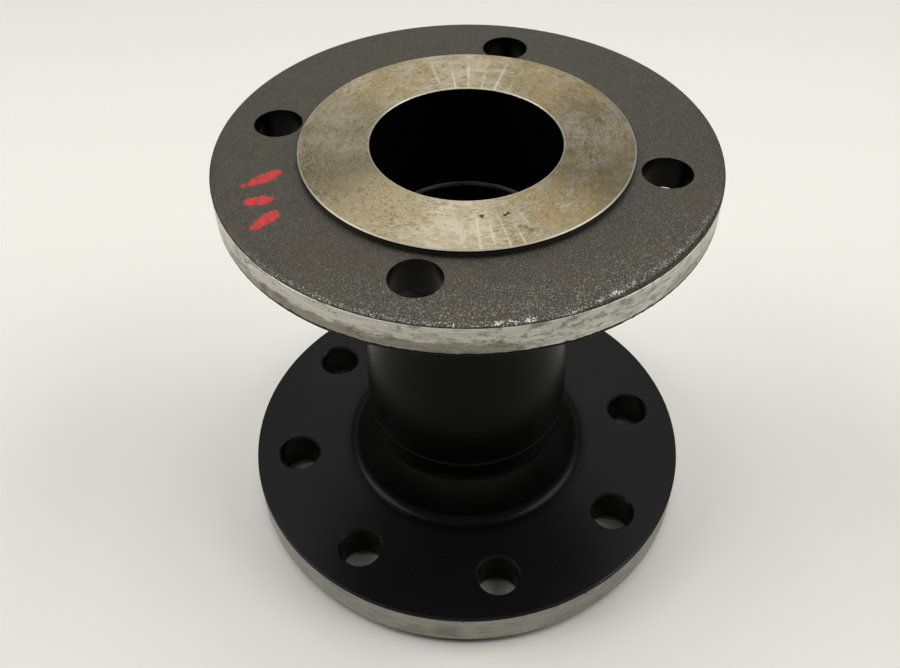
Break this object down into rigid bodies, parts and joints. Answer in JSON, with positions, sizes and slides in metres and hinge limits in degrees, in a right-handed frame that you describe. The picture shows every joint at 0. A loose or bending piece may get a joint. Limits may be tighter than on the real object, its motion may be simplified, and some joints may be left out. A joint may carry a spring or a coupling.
{
  "type": "flanged reducing spool piece",
  "caption": "Rigid steel pipe spool with a weld-neck flange at each end and a concentric reducer between them, joining a larger pipe to a smaller one.",
  "frame": {"origin": "centre of the large flange's raised face, on the plane that the spool stands on", "axes": "+Z along the pipe's axis, from the large flange up to the small one; the bolt holes of both flanges straddle the X and Y axes"},
  "size_m": [0.2, 0.2, 0.1862],
  "materials": {
    "large_flange_steel": "satin black paint, with a bare turned rim and contact face",
    "small_flange_steel": "grey blasted forging with a bare turned rim and contact face, and black paint behind",
    "reducer_steel": "satin black paint",
    "weld_steel": "satin black paint over a dressed weld bead"
  },
  "bodies": {
    "root": {"large_flange": "large_flange_steel", "small_flange": "small_flange_steel", "reducer": "reducer_steel", "large_weld": "weld_steel", "small_weld": "weld_steel"}
  },
  "joints": []
}
